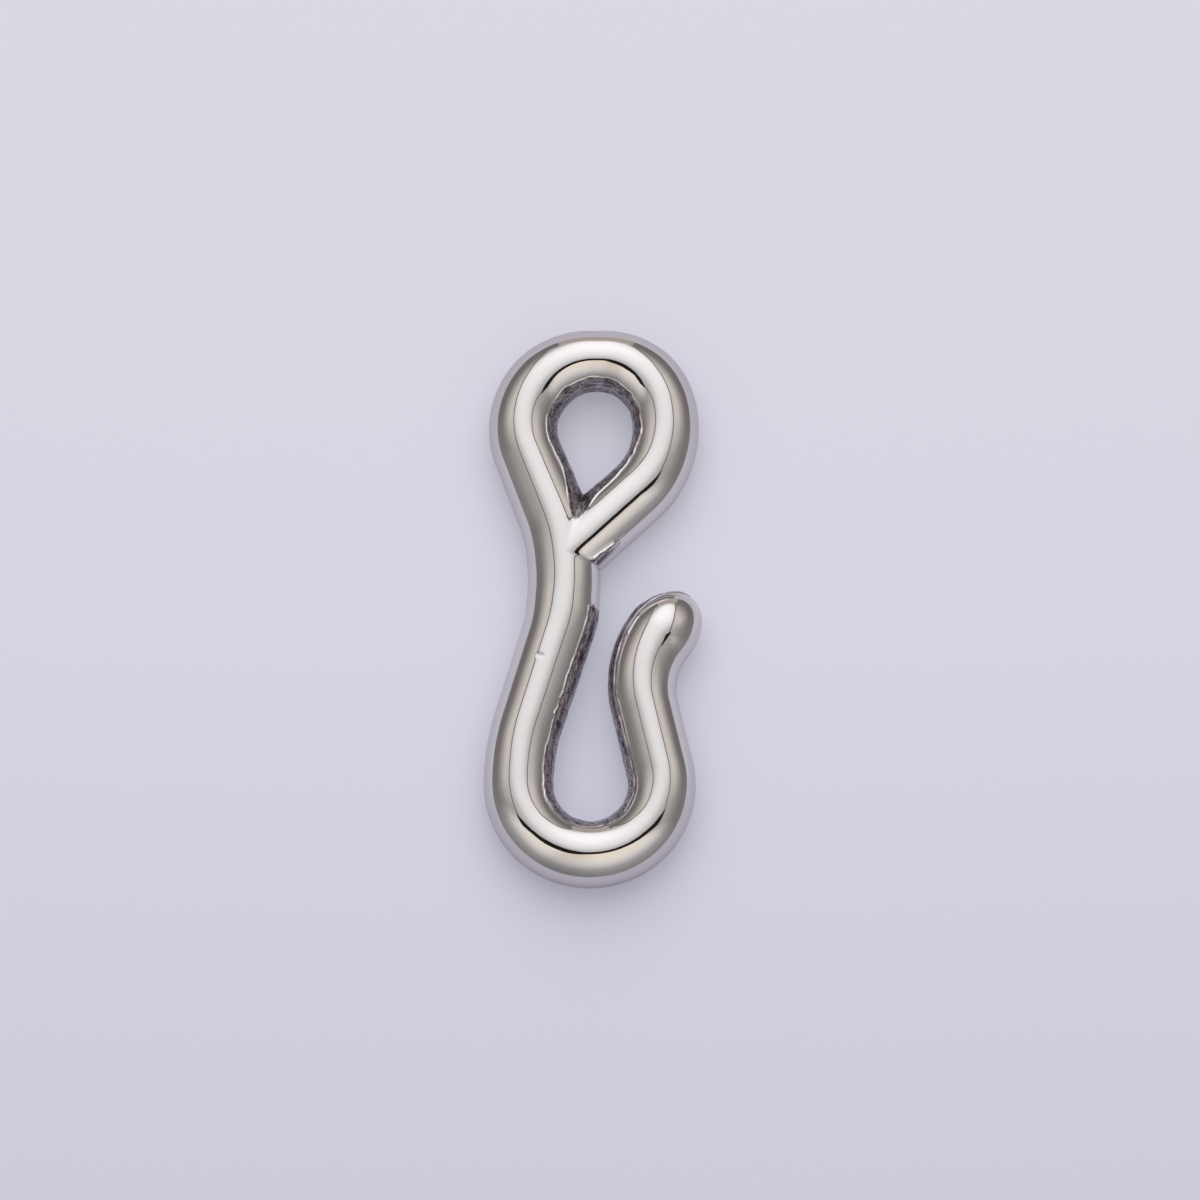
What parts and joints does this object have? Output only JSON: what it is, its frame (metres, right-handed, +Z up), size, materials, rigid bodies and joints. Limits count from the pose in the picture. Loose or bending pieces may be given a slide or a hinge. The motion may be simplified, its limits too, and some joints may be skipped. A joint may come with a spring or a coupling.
{
  "type": "hook clasp",
  "caption": "Flat cast hook clasp: a closed teardrop eye, a gently bent shank and an open U-shaped hook whose blunt nose curls outward at the mouth.",
  "frame": {"origin": "centre of the clasp's bounding box, on the surface that it lies on", "axes": "+Z up through the thickness of the clasp as it lies flat; +Y along its length, from the hook's bowl towards the eye; +X towards the side on which the hook's mouth and nose lie"},
  "size_m": [0.0086, 0.0226, 0.0025],
  "materials": {
    "polished_steel": "mirror polished, with a narrow rough as-cast wall inside the eye and the hook"
  },
  "bodies": {
    "root": {"hook_clasp": "polished_steel"}
  },
  "joints": []
}
